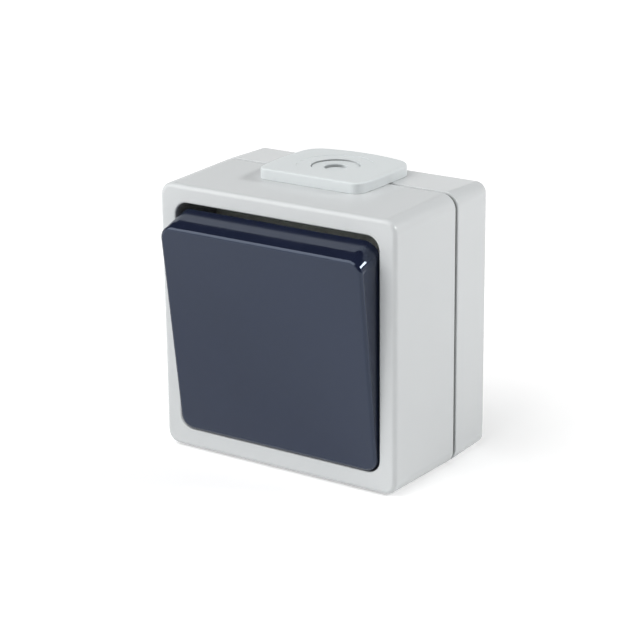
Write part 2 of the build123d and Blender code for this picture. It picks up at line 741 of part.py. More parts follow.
export_step(contact_lever.part, "parts/contact_lever.step")

# Contact discs on the back of the lever's arms.
with BuildPart() as moving_contacts:
    for side in (1, -1):
        seat = lever_axis + lever_up * (side * contact_reach * bend_cos)
        seat = seat + lever_out * (lever_back + contact_reach * bend_sin)
        back_way = lever_up * (side * bend_sin) - lever_out * bend_cos
        with BuildSketch(Plane(origin=seat, x_dir=(1, 0, 0), z_dir=back_way)):
            Circle(contact_radius)
        extrude(amount=contact_height)
        disc_face = moving_contacts.faces().filter_by(GeomType.PLANE).sort_by(Axis(seat, back_way))[-1]
        chamfer(disc_face.edges(), length=contact_chamfer)
moving_contacts.part.label = "moving_contacts"
export_step(moving_contacts.part, "parts/moving_contacts.step")

# Pin in the yoke.
with BuildPart() as lever_pin:
    with BuildSketch(side_view):
        with Locations((0, lever_axis_depth)):
            Circle(pin_radius)
    extrude(amount=yoke_outer + pin_gap, both=True)
lever_pin.part.label = "lever_pin"
export_step(lever_pin.part, "parts/lever_pin.step")

# Common terminal: a strip from its clamp to a yoke with two upright tabs.
with BuildPart() as common_terminal:
    with BuildSketch(well_view.offset(socket_floor)):
        with Locations(((yoke_outer - strip_end) / 2, 0)):
            Rectangle(yoke_outer + strip_end, strip_width)
    extrude(amount=strip_thickness)
    for side in (1, -1):
        with BuildSketch(side_view.offset(side * yoke_inner)):
            with Locations((0, (lever_axis_depth + socket_floor) / 2)):
                Rectangle(2 * yoke_radius, lever_axis_depth - socket_floor)
            with Locations((0, lever_axis_depth)):
                Circle(yoke_radius)
                Circle(pin_radius + pin_fit, mode=Mode.SUBTRACT)
        extrude(amount=side * yoke_thickness)
common_terminal.part.label = "common_terminal"
export_step(common_terminal.part, "parts/common_terminal.step")

# Upper and lower terminals: strips from the contacts to their clamps.
traveller_start = -lever_width / 2
traveller_middle = (strip_end + traveller_start) / 2
with BuildPart() as upper_terminal:
    with BuildSketch(well_view.offset(socket_floor)):
        with Locations((traveller_middle, contact_reach)):
            Rectangle(strip_end - traveller_start, strip_width)
    extrude(amount=strip_thickness)
upper_terminal.part.label = "upper_terminal"
export_step(upper_terminal.part, "parts/upper_terminal.step")

with BuildPart() as lower_terminal:
    with BuildSketch(well_view.offset(socket_floor)):
        with Locations((traveller_middle, -contact_reach)):
            Rectangle(strip_end - traveller_start, strip_width)
    extrude(amount=strip_thickness)
lower_terminal.part.label = "lower_terminal"
export_step(lower_terminal.part, "parts/lower_terminal.step")

# Contact discs on the two strips.
with BuildPart() as fixed_contacts:
    with BuildSketch(well_view.offset(strip_top)):
        with Locations((0, contact_reach), (0, -contact_reach)):
            Circle(contact_radius)
    extrude(amount=fixed_contact_top - strip_top)
    chamfer(fixed_contacts.faces().sort_by(Axis.Y)[:2].edges(), length=contact_chamfer)
fixed_contacts.part.label = "fixed_contacts"
export_step(fixed_contacts.part, "parts/fixed_contacts.step")

# Cage clamps round the strips, and their screws.
with BuildPart() as terminal_clamps:
    with BuildSketch(well_view.offset(clamp_back)):
        with Locations(*clamp_points):
            Rectangle(clamp_size, clamp_size)
    extrude(amount=clamp_height)
    window_depth = socket_floor - seat_clearance + clamp_window / 2
    with BuildSketch(side_view):
        with Locations((0, window_depth), (contact_reach, window_depth), (-contact_reach, window_depth)):
            Rectangle(strip_width + seat_clearance, clamp_window)
    extrude(amount=socket_width, both=True, mode=Mode.SUBTRACT)
    with BuildSketch(well_view.offset(clamp_front)):
        with Locations(*clamp_points):
            Circle(terminal_screw_radius + screw_clearance)
    extrude(amount=-clamp_height / 2, mode=Mode.SUBTRACT)
terminal_clamps.part.label = "terminal_clamps"
export_step(terminal_clamps.part, "parts/terminal_clamps.step")

with BuildPart() as terminal_screws:
    with BuildSketch(well_view.offset(clamp_front)):
        with Locations(*clamp_points):
            Circle(terminal_head_radius)
    extrude(amount=screw_head_height)
    with BuildSketch(well_view.offset(clamp_front)):
        with Locations(*clamp_points):
            Circle(terminal_screw_radius)
    extrude(amount=-terminal_screw_length)
    with BuildSketch(well_view.offset(clamp_front + screw_head_height)):
        with Locations(*clamp_points):
            Rectangle(2 * terminal_head_radius, screw_slot)
    extrude(amount=-screw_head_height / 2, mode=Mode.SUBTRACT)
terminal_screws.part.label = "terminal_screws"
export_step(terminal_screws.part, "parts/terminal_screws.step")
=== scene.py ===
"""Finishes, small pieces and studio for a surface-mounted light switch, laid out as an add-on.

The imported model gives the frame, and every place here is in it, in metres.
"""

import json
from math import cos, pi, radians, sin

import bmesh
import bpy
from bpy.props import FloatProperty, FloatVectorProperty, IntProperty, PointerProperty
from mathutils import Matrix, Vector


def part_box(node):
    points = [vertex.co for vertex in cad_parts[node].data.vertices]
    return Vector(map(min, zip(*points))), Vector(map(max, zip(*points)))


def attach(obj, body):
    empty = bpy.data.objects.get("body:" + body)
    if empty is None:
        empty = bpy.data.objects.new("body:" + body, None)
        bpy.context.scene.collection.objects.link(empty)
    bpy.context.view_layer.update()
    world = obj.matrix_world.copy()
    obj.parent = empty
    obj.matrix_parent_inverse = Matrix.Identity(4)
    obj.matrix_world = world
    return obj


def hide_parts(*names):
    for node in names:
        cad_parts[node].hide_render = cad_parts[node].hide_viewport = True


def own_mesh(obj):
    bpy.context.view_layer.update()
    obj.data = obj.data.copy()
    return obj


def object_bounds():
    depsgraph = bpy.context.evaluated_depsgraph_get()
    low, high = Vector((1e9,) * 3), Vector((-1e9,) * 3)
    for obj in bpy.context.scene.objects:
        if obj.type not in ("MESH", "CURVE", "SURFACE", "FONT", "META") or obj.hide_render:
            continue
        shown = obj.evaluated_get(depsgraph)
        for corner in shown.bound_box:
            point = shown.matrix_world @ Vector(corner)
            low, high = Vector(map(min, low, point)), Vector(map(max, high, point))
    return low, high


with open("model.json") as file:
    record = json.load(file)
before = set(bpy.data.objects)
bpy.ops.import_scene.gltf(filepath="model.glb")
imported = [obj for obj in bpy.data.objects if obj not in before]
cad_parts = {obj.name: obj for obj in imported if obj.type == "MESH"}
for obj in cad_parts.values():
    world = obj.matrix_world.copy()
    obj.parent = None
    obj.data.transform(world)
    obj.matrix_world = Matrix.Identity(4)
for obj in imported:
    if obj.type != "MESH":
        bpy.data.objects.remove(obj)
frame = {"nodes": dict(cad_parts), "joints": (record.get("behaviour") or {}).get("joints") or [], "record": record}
cad_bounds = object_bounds()

bl_info = {
    "name": "Surface Light Switch",
    "version": (1, 0, 0),
    "blender": (4, 5, 0),
    "location": "3D View > Sidebar > Light Switch",
    "description": "Finishes, small pieces and studio for a surface-mounted light switch",
    "category": "Object",
}

BASE_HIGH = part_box("base_box")[1]
GROMMET_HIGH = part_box("cable_grommet")[1]
MERGE_DISTANCE = 1e-7
WHITE = (1.0, 1.0, 1.0, 1.0)

# Moulded plastics: swing of the tone and of the roughness over the flow, breaks in the rubbed
# band in widths of the band, and how much of the edge tone a rubbed edge takes on.
FLOW_TONE = 0.006
FLOW_ROUGHNESS = 0.012
EDGE_BREAKS = 5
EDGE_SHARE = 0.6

# Painted shade in a round groove: distances inside the ring's radius where it starts and is full,
# distances outside that radius where it thins and ends, height of its fade at the ring's top, and
# cosines of the angle from the darkest side between which it comes up.
SHADE_INNER = (0.0004, 0.0002)
SHADE_OUTER = (0.00006, 0.0001)
SHADE_FADE = 0.00012
SHADE_TURN = (0.1, 0.85)

# Camera: width of the sensor in millimetres, and the nearest and farthest distance it sees.
SENSOR_WIDTH = 36.0
CLIP_NEAR = 0.01
CLIP_FAR = 20.0


# Properties


def colour_property(name, description, default):
    """A colour that a user would change."""
    return FloatVectorProperty(
        name=name,
        description=description,
        subtype="COLOR",
        size=3,
        min=0.0,
        max=1.0,
        default=default,
    )


def length_property(name, description, default):
    """A length in metres."""
    return FloatProperty(
        name=name,
        description=description,
        default=default,
        min=0.0,
        precision=6,
        unit="LENGTH",
    )


def share_property(name, description, default):
    """A number from 0 to 1."""
    return FloatProperty(
        name=name,
        description=description,
        default=default,
        min=0.0,
        max=1.0,
        subtype="FACTOR",
    )


def angle_property(name, description, degrees):
    """An angle, given in degrees and kept in radians."""
    return FloatProperty(
        name=name,
        description=description,
        default=radians(degrees),
        unit="ROTATION",
    )


def power_property(name, description, default):
    """The power of a lamp in watts."""
    return FloatProperty(
        name=name,
        description=description,
        default=default,
        min=0.0,
        unit="POWER",
    )


def count_property(name, description, default, least):
    """A whole number."""
    return IntProperty(name=name, description=description, default=default, min=least)


class HousingFinish(bpy.types.PropertyGroup):
    """Satin plastic of the two housing halves."""

    colour: colour_property("Colour", "Body colour of the housing", (0.628, 0.648, 0.655))
    roughness: share_property("Roughness", "Mean roughness of the satin skin", 0.25)
    grain: length_property("Grain", "Size of the fine moulded grain", 0.00022)
    grain_depth: length_property("Grain depth", "Depth of the fine moulded grain", 0.000003)
    flow: length_property("Flow", "Size of the slow tone left by the flow", 0.022)
    edge_width: length_property("Edge width", "Width of the rubbed band along edges", 0.0005)
    edge_tone: share_property("Edge tone", "Share by which rubbed edges are lighter", 0.03)
    edge_polish: share_property("Edge polish", "Roughness that rubbed edges lose", 0.12)


class RockerFinish(bpy.types.PropertyGroup):
    """High gloss plastic of the rocker."""

    colour: colour_property("Colour", "Body colour of the rocker", (0.0112, 0.0155, 0.0365))
    gloss_colour: colour_property("Gloss colour", "Tint of the reflections", (0.70, 0.82, 1.0))
    gloss_level: share_property("Gloss level", "Level of the reflections", 0.64)
    smoothest: share_property("Smoothest", "Lowest roughness of the polished skin", 0.065)
    roughest: share_property("Roughest", "Highest roughness of the polished skin", 0.11)
    wave: length_property("Wave", "Length of the faint waves in the polish", 0.006)
    wave_depth: length_property("Wave depth", "Depth of the faint waves", 0.0000016)
    flow: length_property("Flow", "Size of the slow tone left by the flow", 0.018)
    flow_tone: share_property("Flow tone", "Swing of the tone over the flow", 0.04)
    edge_width: length_property("Edge width", "Width of the rubbed band along edges", 0.0004)
    edge_break: length_property("Edge break", "Size of the breaks in that band", 0.0015)
    edge_tone: share_property("Edge tone", "Share by which rubbed edges are lighter", 0.9)
    edge_share: share_property("Edge share", "How much of that tone an edge takes on", 0.35)
    mark_spacing: length_property("Mark spacing", "Spacing of the hairline marks", 0.0005)
    mark_length: length_property("Mark length", "Length of the hairline marks", 0.016)
    mark_patch: length_property("Mark patch", "Size of the patches of marks", 0.011)
    mark_roughness: share_property("Mark roughness", "Roughness that a mark adds", 0.035)


class RubberFinish(bpy.types.PropertyGroup):
    """Elastomers of the grommet and the seals."""

    grommet_colour: colour_property("Grommet", "Colour of the grommet", (0.685, 0.72, 0.727))
    grommet_roughness: share_property("Grommet roughness", "Roughness of the grommet", 0.48)
    seal_colour: colour_property("Insert seal", "Colour of the insert's seal", (0.052, 0.056, 0.046))
    seal_roughness: share_property("Seal roughness", "Roughness of the insert's seal", 0.62)
    joint_colour: colour_property("Joint seal", "Colour of the joint's seal", (0.16, 0.165, 0.165))
    joint_roughness: share_property("Joint roughness", "Roughness of the joint's seal", 0.60)
    mat_colour: colour_property("Mat", "Colour of the mat on the well's floor", (0.70, 0.74, 0.68))
    mat_roughness: share_property("Mat roughness", "Roughness of that mat", 0.58)
    grain: length_property("Grain", "Size of the matt grain", 0.00016)
    grain_depth: length_property("Grain depth", "Depth of the matt grain", 0.000004)
    flow: length_property("Flow", "Size of the slow tone left by the flow", 0.012)
    edge_width: length_property("Edge width", "Width of the rubbed band along edges", 0.0003)
    edge_tone: share_property("Edge tone", "Share by which rubbed edges are lighter", 0.015)
    edge_polish: share_property("Edge polish", "Roughness that rubbed edges lose", 0.06)
    # The grommet's grooves get painted shade: their colour is darkened, most on one side, where shade falls. The
    # heights left clean are kept free of that painted shade.
    painted_shade: share_property("Painted shade", "Darkness of the grime in the grommet's grooves", 0.55)
    painted_shade_side: angle_property("Grime side", "Direction from the hole to the thickest grime", 226.0)
    step_radius: length_property("Step", "Radius of the step round the grommet's hole", 0.006)
    step_drop: length_property("Step drop", "Height left clean at the top of the step", 0.0002)
    hole_radius: length_property("Hole", "Radius of the grommet's cable hole", 0.0029)
    hole_drop: length_property("Hole drop", "Height left clean over the cable hole", 0.00068)


class InsertFinish(bpy.types.PropertyGroup):
    """Plastics of the switch insert."""

    socket_colour: colour_property("Socket", "Colour of the socket and the cap", (0.55, 0.53, 0.48))
    socket_roughness: share_property("Socket roughness", "Roughness of socket and cap", 0.42)
    cradle_colour: colour_property("Cradle", "Colour of cradle and plunger", (0.45, 0.46, 0.47))
    cradle_roughness: share_property("Cradle roughness", "Roughness of cradle and plunger", 0.36)
    grain: length_property("Grain", "Size of the filler specks", 0.0004)
    grain_depth: length_property("Grain depth", "Depth of the moulded grain", 0.000005)
    flow: length_property("Flow", "Size of the slow tone left by the flow", 0.009)
    edge_width: length_property("Edge width", "Width of the rubbed band along edges", 0.0003)
    edge_tone: share_property("Edge tone", "Share by which rubbed edges are lighter", 0.06)
    edge_polish: share_property("Edge polish", "Roughness that rubbed edges lose", 0.06)


class MetalFinish(bpy.types.PropertyGroup):
    """Metals of the contacts, clamps, screws and spring."""

    brass_colour: colour_property("Brass", "Colour of the brass strips", (0.72, 0.51, 0.22))
    brass_tarnish: colour_property("Tarnish", "Colour of tarnished brass", (0.36, 0.23, 0.09))
    brass_roughness: share_property("Brass roughness", "Roughness of bright brass", 0.29)
    brass_dullness: share_property("Brass dullness", "Share of tarnish in its clouds", 0.75)
    silver_colour: colour_property("Silver", "Colour of the contact metal", (0.82, 0.81, 0.78))
    silver_shade: share_property("Silver shade", "Share by which dull silver is darker", 0.35)
    silver_roughness: share_property("Silver roughness", "Roughness of bright silver", 0.28)
    silver_dullness: share_property("Silver dullness", "Share of dull metal in its clouds", 0.6)
    steel_colour: colour_property("Steel", "Colour of the zinc-plated steel", (0.60, 0.61, 0.63))
    steel_shade: share_property("Steel shade", "Share by which dull steel is darker", 0.30)
    steel_roughness: share_property("Steel roughness", "Roughness of bright steel", 0.30)
    steel_dullness: share_property("Steel dullness", "Share of dull metal in its clouds", 0.7)
    cloud_roughness: share_property("Cloud roughness", "Roughness that a cloud adds", 0.16)
    line_spacing: length_property("Line spacing", "Spacing of the drawing lines", 0.00006)
    line_length: length_property("Line length", "Length of the drawing lines", 0.004)
    line_depth: length_property("Line depth", "Depth of the drawing lines", 0.000003)
    edge_width: length_property("Edge width", "Width of the bright band along edges", 0.0002)
    edge_break: length_property("Edge break", "Size of the breaks in that band", 0.0012)
    edge_tone: share_property("Edge tone", "Share by which bright edges are lighter", 0.18)
    edge_share: share_property("Edge share", "How much of that tone an edge takes on", 0.7)


class MembraneSizes(bpy.types.PropertyGroup):
    """Thin membrane in the grommet's cable hole, uncut as in the photograph."""

    radius: length_property("Radius", "Radius, a little over the cable hole's", 0.00296)
    thickness: length_property("Thickness", "Thickness of the membrane", 0.0007)
    drop: length_property("Drop", "Distance under the grommet's top", 0.0013)
    crown: length_property("Crown", "Rise of the membrane at its middle", 0.00008)
    shoulder_reach: share_property("Shoulder", "Place of the crown's shoulder on the radius", 0.55)
    shoulder_level: share_property("Shoulder level", "Share of the crown at its shoulder", 0.8)
    crown_end: share_property("Crown end", "Place of the crown's end on the radius", 0.9)
    segments: count_property("Segments", "Sides of the membrane's outline", 64, 16)


class SpringSizes(bpy.types.PropertyGroup):
    """Coil spring between the plunger and the cradle."""

    wire: length_property("Wire", "Diameter of the spring's wire", 0.0005)
    radius: length_property("Radius", "Radius of the coil at the middle of its wire", 0.0015)
    turns: count_property("Turns", "Turns of the coil", 4, 1)
    steps: count_property("Steps", "Steps in each turn of the coil", 32, 12)
    segments: count_property("Segments", "Sides of the wire's section", 12, 6)


class MarkSizes(bpy.types.PropertyGroup):
    """Ejector and gate marks in the pockets of the back."""

    radius: length_property("Radius", "Radius of an ejector mark", 0.0019)
    height: length_property("Height", "Height of a mark over the pocket's floor", 0.00018)
    cup: length_property("Cup", "Depth of the cup in a mark", 0.0001)
    rim: length_property("Rim", "Width of the rim round the cup", 0.0003)
    rim_round: share_property("Rim rounding", "Rounding of the rim as a share of the height", 0.25)
    rim_steps: count_property("Rim steps", "Steps in that rounding", 2, 1)
    inset: length_property("Inset", "Distance of a mark from the side of the housing", 0.0085)
    middle: length_property("Middle", "Distance of a mark from the housing's middle", 0.0075)
    gate_radius: length_property("Gate", "Radius of the gate mark", 0.0011)
    pocket: length_property("Pocket", "Depth of the pockets in the back", 0.0006)
    segments: count_property("Segments", "Sides of a mark's outline", 40, 12)


class StageSetting(bpy.types.PropertyGroup):
    """Floor, surroundings, lamps and camera."""

    floor_radius: length_property("Floor", "Radius of the floor", 4.0)
    floor_sides: count_property("Floor sides", "Sides of the floor's outline", 96, 12)
    floor_gap: length_property("Floor gap", "Gap between the switch and the floor", 0.0001)
    floor_colour: colour_property("Floor colour", "Colour of the floor", (0.80, 0.80, 0.80))
    floor_grain: length_property("Floor grain", "Size of the floor's grain", 0.004)
    floor_flow: length_property("Floor flow", "Size of the floor's slow tone", 0.4)
    floor_tone: share_property("Floor tone", "Swing of the floor's slow tone", 0.01)
    floor_roughness: share_property("Floor roughness", "Roughness of the floor", 0.9)
    floor_gloss: share_property("Floor gloss", "Level of the floor's reflections", 0.1)
    floor_white: share_property("Floor white", "White that is seen on the floor", 0.37)
    far_white: share_property("Far white", "White added far from the switch", 0.40)
    white_near: length_property("White near", "Distance where that white begins", 0.12)
    white_far: length_property("White far", "Distance where it is full", 0.9)
    world_high: share_property("High level", "Level of the surroundings overhead", 0.03)
    world_low: share_property("Low level", "Level near the horizon", 0.95)
    low_end: share_property("Low end", "Sine of the elevation where the low level ends", 0.12)
    high_start: share_property("High start", "Sine of the elevation where the high starts", 0.46)
    flag_azimuth: angle_property("Flag", "Direction of the dark flag between the lamps", 55.0)
    flag_share: share_property("Flag share", "Share of the level that the flag takes", 0.9)
    flag_edge: share_property("Flag edge", "Cosine of the angle to the flag's edge", 0.6)
    flag_core: share_property("Flag core", "Cosine of the angle to its full dark", 0.85)
    right_azimuth: angle_property("Right azimuth", "Direction of the right softbox", 123.0)
    right_elevation: angle_property("Right elevation", "Height of the right softbox", 30.0)
    right_distance: length_property("Right distance", "Distance of the right softbox", 0.80)
    right_width: length_property("Right width", "Width of the right softbox", 0.34)
    right_height: length_property("Right height", "Height of the right softbox", 0.16)
    right_power: power_property("Right power", "Power of the right softbox", 3.75)
    front_azimuth: angle_property("Front azimuth", "Direction of the front softbox", -28.0)
    front_elevation: angle_property("Front elevation", "Height of the front softbox", 47.0)
    front_distance: length_property("Front distance", "Distance of the front softbox", 0.95)
    front_width: length_property("Front width", "Width of the front softbox", 1.20)
    front_height: length_property("Front height", "Height of the front softbox", 1.10)
    front_power: power_property("Front power", "Power of the front softbox", 11.8)
    azimuth: angle_property("Azimuth", "Direction of the camera round the switch", 34.1072)
    elevation: angle_property("Elevation", "Height of the camera over the horizon", 18.5106)
    roll: angle_property("Roll", "Turn of the camera about its own axis", -0.5564)
    distance: length_property("Distance", "Camera's distance from its aim", 0.5404231)
    aim_depth: length_property("Aim depth", "Distance of the aim from the wall", 0.0154)
    slide_left: length_property("Slide left", "Sideways slide of the camera", 0.0036121)
    slide_down: length_property("Slide down", "Downward slide of the camera", 0.0026307)
    lens: FloatProperty(
        name="Lens",
        description="Focal length of the camera in millimetres",
        default=125.277,
        unit="CAMERA",
    )


# Nodes


def add(tree, kind, inputs=None, **settings):
    """A node of one kind. A value sets an input, and a socket is linked to it."""
    made = tree.nodes.new(kind)
    for name, value in settings.items():
        setattr(made, name, value)
    for key, value in (inputs or {}).items():
        if isinstance(value, bpy.types.NodeSocket):
            tree.links.new(value, made.inputs[key])
        else:
            made.inputs[key].default_value = value
    return made


def object_place(tree):
    """The place on the piece, in the frame's own metres."""
    return add(tree, "ShaderNodeTexCoord").outputs["Object"]


def maths(tree, operation, first, second=0.0, third=0.0):
    """The result of one sum on values or sockets."""
    inputs = {0: first, 1: second, 2: third}
    return add(tree, "ShaderNodeMath", inputs, operation=operation).outputs[0]


def vector_maths(tree, operation, first, second=(0.0, 0.0, 0.0)):
    """A node for one sum on vectors or sockets."""
    return add(tree, "ShaderNodeVectorMath", {0: first, 1: second}, operation=operation)


def span(tree, value, low, high, to_low=0.0, to_high=1.0):
    """A value moved from one range to another, held at its ends."""
    inputs = {
        "Value": value,
        "From Min": low,
        "From Max": high,
        "To Min": to_low,
        "To Max": to_high,
    }
    made = add(tree, "ShaderNodeMapRange", inputs, interpolation_type="SMOOTHSTEP")
    return made.outputs["Result"]


def blend_colour(tree, factor, first, second):
    """Two colours mixed by a factor, by the numbers of the Mix node's colour sockets."""
    inputs = {0: factor, 6: first, 7: second}
    return add(tree, "ShaderNodeMix", inputs, data_type="RGBA").outputs[2]


def noise(tree, place, size, detail=2.0, rough=0.5):
    """Noise with features of one size."""
    scale = maths(tree, "DIVIDE", 1.0, size)
    inputs = {"Vector": place, "Scale": scale, "Detail": detail, "Roughness": rough}
    return add(tree, "ShaderNodeTexNoise", inputs).outputs[0]


def drawn_out(group, start):
    """Scales that draw a noise of scale 1 out into lines along X."""
    along = maths(group, "DIVIDE", 1.0, start.outputs["Length"])
    across = maths(group, "DIVIDE", 1.0, start.outputs["Spacing"])
    return add(group, "ShaderNodeCombineXYZ", {"X": along, "Y": across, "Z": across}).outputs[0]


def new_group(name, inputs, outputs):
    """A shader node group with named float inputs and outputs, and its two end nodes."""
    group = bpy.data.node_groups.new(name, "ShaderNodeTree")
    kind = "NodeSocketFloat"
    for socket_name, default in inputs:
        socket = group.interface.new_socket(socket_name, in_out="INPUT", socket_type=kind)
        socket.default_value = default
    for socket_name in outputs:
        group.interface.new_socket(socket_name, in_out="OUTPUT", socket_type=kind)
    return group, group.nodes.new("NodeGroupInput"), group.nodes.new("NodeGroupOutput")


def moulded_grain_group(name):
    """Fine grain of a spark-eroded mould, and the slow flow tone of the plastic."""
    cell_scale = 0.6
    cell_height = 0.45
    flow_low, flow_high = 0.28, 0.72
    group, start, end = new_group(name, [("Grain", 0.0002), ("Flow", 0.02)], ["Height", "Flow"])
    place = object_place(group)
    fine = noise(group, place, start.outputs["Grain"], detail=3.0, rough=0.6)
    scale = maths(group, "DIVIDE", cell_scale, start.outputs["Grain"])
    inputs = {"Vector": place, "Scale": scale}
    cells = add(group, "ShaderNodeTexVoronoi", inputs, feature="SMOOTH_F1").outputs["Distance"]
    flow = noise(group, place, start.outputs["Flow"], rough=0.55)
    group.links.new(maths(group, "MULTIPLY_ADD", cells, cell_height, fine), end.inputs["Height"])
    group.links.new(span(group, flow, flow_low, flow_high), end.inputs["Flow"])
    return group


def edge_wear_group(name):
    """A broken band along the edges, from the normal of a rounded edge."""
    break_low, break_high = 0.34, 0.62
    bend_low, bend_high = 0.004, 0.10
    group, start, end = new_group(name, [("Width", 0.0005), ("Break Size", 0.002)], ["Mask"])
    rounded = add(group, "ShaderNodeBevel", {"Radius": start.outputs["Width"]}, samples=6)
    true_normal = add(group, "ShaderNodeNewGeometry").outputs["Normal"]
    turn = vector_maths(group, "DOT_PRODUCT", rounded.outputs["Normal"], true_normal)
    bend = maths(group, "SUBTRACT", 1.0, turn.outputs["Value"])
    place = object_place(group)
    breaks = noise(group, place, start.outputs["Break Size"], detail=3.0, rough=0.6)
    broken = span(group, breaks, break_low, break_high)
    mask = maths(group, "MULTIPLY", span(group, bend, bend_low, bend_high), broken)
    group.links.new(mask, end.inputs["Mask"])
    return group


def hairline_group(name):
    """Fine straight rub marks in two directions, in patches."""
    turns = (0.5, -1.0)
    lean = 0.2
    noise_middle = 0.5
    line_width = 0.012
    patch_low, patch_high = 0.46, 0.68
    sockets = [("Spacing", 0.0006), ("Length", 0.02), ("Patch", 0.012)]
    group, start, end = new_group(name, sockets, ["Mask"])
    place = object_place(group)
    stretch = drawn_out(group, start)
    lines = []
    for turn in turns:
        inputs = {"Vector": place, "Rotation": (0.0, turn, lean), "Scale": stretch}
        turned = add(group, "ShaderNodeMapping", inputs).outputs[0]
        pattern = add(group, "ShaderNodeTexNoise", {"Vector": turned, "Scale": 1.0, "Detail": 1.0})
        off = maths(group, "SUBTRACT", pattern.outputs[0], noise_middle)
        off = maths(group, "ABSOLUTE", off)
        lines.append(span(group, off, 0.0, line_width, 1.0, 0.0))
    both = maths(group, "MAXIMUM", lines[0], lines[1])
    patches = noise(group, place, start.outputs["Patch"])
    patch = span(group, patches, patch_low, patch_high)
    group.links.new(maths(group, "MULTIPLY", both, patch), end.inputs["Mask"])
    return group


def drawn_metal_group(name):
    """Drawing lines of strip and wire, and the cloudy tone of a handled metal."""
    cloud_low, cloud_high = 0.36, 0.66
    sockets = [("Spacing", 0.00006), ("Length", 0.004), ("Cloud", 0.003)]
    group, start, end = new_group(name, sockets, ["Height", "Cloud"])
    place = object_place(group)
    inputs = {"Vector": place, "Scale": drawn_out(group, start)}
    drawn = add(group, "ShaderNodeMapping", inputs).outputs[0]
    lines = add(group, "ShaderNodeTexNoise", {"Vector": drawn, "Scale": 1.0, "Detail": 3.0})
    clouds = noise(group, place, start.outputs["Cloud"], detail=4.0, rough=0.6)
    group.links.new(lines.outputs[0], end.inputs["Height"])
    group.links.new(span(group, clouds, cloud_low, cloud_high), end.inputs["Cloud"])
    return group


GROUP_MAKERS = {
    "Moulded Grain": moulded_grain_group,
    "Edge Wear": edge_wear_group,
    "Hairline Marks": hairline_group,
    "Drawn Metal": drawn_metal_group,
}


def place_group(tree, group_name, **values):
    """A group placed in a material with its own values, and built when it is first asked for.

    Underscores in the names of the values stand for spaces.
    """
    made = tree.nodes.new("ShaderNodeGroup")
    made.node_tree = bpy.data.node_groups.get(group_name) or GROUP_MAKERS[group_name](group_name)
    for name, value in values.items():
        made.inputs[name.replace("_", " ").title()].default_value = value
    return made.outputs


# Materials


def new_material(name):
    """An empty material with its shader and output, and its node tree."""
    material = bpy.data.materials.new(name)
    material.use_nodes = True
    tree = material.node_tree
    tree.nodes.clear()
    shader = tree.nodes.new("ShaderNodeBsdfPrincipled")
    output = tree.nodes.new("ShaderNodeOutputMaterial")
    tree.links.new(shader.outputs["BSDF"], output.inputs["Surface"])
    return material, tree, shader


def bump(tree, shader, height, depth):
    """Relief of a given depth on the shader's normal."""
    made = add(tree, "ShaderNodeBump", {"Height": height, "Strength": 1.0, "Distance": depth})
    tree.links.new(made.outputs["Normal"], shader.inputs["Normal"])


def tinted(colour, share=0.0):
    """A colour made lighter or darker by a share, with its alpha."""
    return tuple(min(1.0, part * (1.0 + share)) for part in colour) + (1.0,)


def moulded_plastic(name, colour, roughness, look):
    """Moulded plastic: fine grain, slow flow tone and a rubbed band along edges."""
    material, tree, shader = new_material(name)
    skin = place_group(tree, "Moulded Grain", grain=look.grain, flow=look.flow)
    edge_break = look.edge_width * EDGE_BREAKS
    worn = place_group(tree, "Edge Wear", width=look.edge_width, break_size=edge_break)
    darker, lighter = tinted(colour, -FLOW_TONE), tinted(colour, FLOW_TONE)
    body = blend_colour(tree, skin["Flow"], darker, lighter)
    rub = maths(tree, "MULTIPLY", worn["Mask"], EDGE_SHARE)
    rubbed = blend_colour(tree, rub, body, tinted(colour, look.edge_tone))
    tree.links.new(rubbed, shader.inputs["Base Color"])
    low, high = roughness - FLOW_ROUGHNESS, roughness + FLOW_ROUGHNESS
    skin_rough = span(tree, skin["Flow"], 0.0, 1.0, low, high)
    edge_rough = maths(tree, "MULTIPLY_ADD", worn["Mask"], -look.edge_polish, skin_rough)
    tree.links.new(edge_rough, shader.inputs["Roughness"])
    bump(tree, shader, skin["Height"], look.grain_depth)
    return material


def groove_painted_shade(material, colour, axis, rings, side):
    """Painted shade in round grooves about an upright axis, darkest on one side.

    A ring is its outer radius and its top height.
    """
    tree = material.node_tree
    place = object_place(tree)
    from_axis = vector_maths(tree, "SUBTRACT", place, axis).outputs[0]
    flat = vector_maths(tree, "MULTIPLY", from_axis, (1.0, 1.0, 0.0)).outputs[0]
    reach = vector_maths(tree, "LENGTH", flat).outputs["Value"]
    height = add(tree, "ShaderNodeSeparateXYZ", {0: place}).outputs["Z"]
    painted_shade = 0.0
    for radius, top in rings:
        start, full = (radius - distance for distance in SHADE_INNER)
        thin, end = (radius + distance for distance in SHADE_OUTER)
        rise = span(tree, reach, start, full)
        fall = span(tree, reach, thin, end, 1.0, 0.0)
        below = span(tree, height, top - SHADE_FADE, top, 1.0, 0.0)
        ring = maths(tree, "MULTIPLY", maths(tree, "MULTIPLY", rise, fall), below)
        painted_shade = maths(tree, "MAXIMUM", ring, painted_shade)
    outward = vector_maths(tree, "NORMALIZE", flat).outputs[0]
    facing = vector_maths(tree, "DOT_PRODUCT", outward, side).outputs["Value"]
    # The painted shade is darkest on the side it is turned to.
    painted_shade = maths(tree, "MULTIPLY", painted_shade, span(tree, facing, *SHADE_TURN))
    shader = next(item for item in tree.nodes if item.type == "BSDF_PRINCIPLED")
    body = shader.inputs["Base Color"].links[0].from_socket
    tree.links.new(blend_colour(tree, painted_shade, body, colour), shader.inputs["Base Color"])


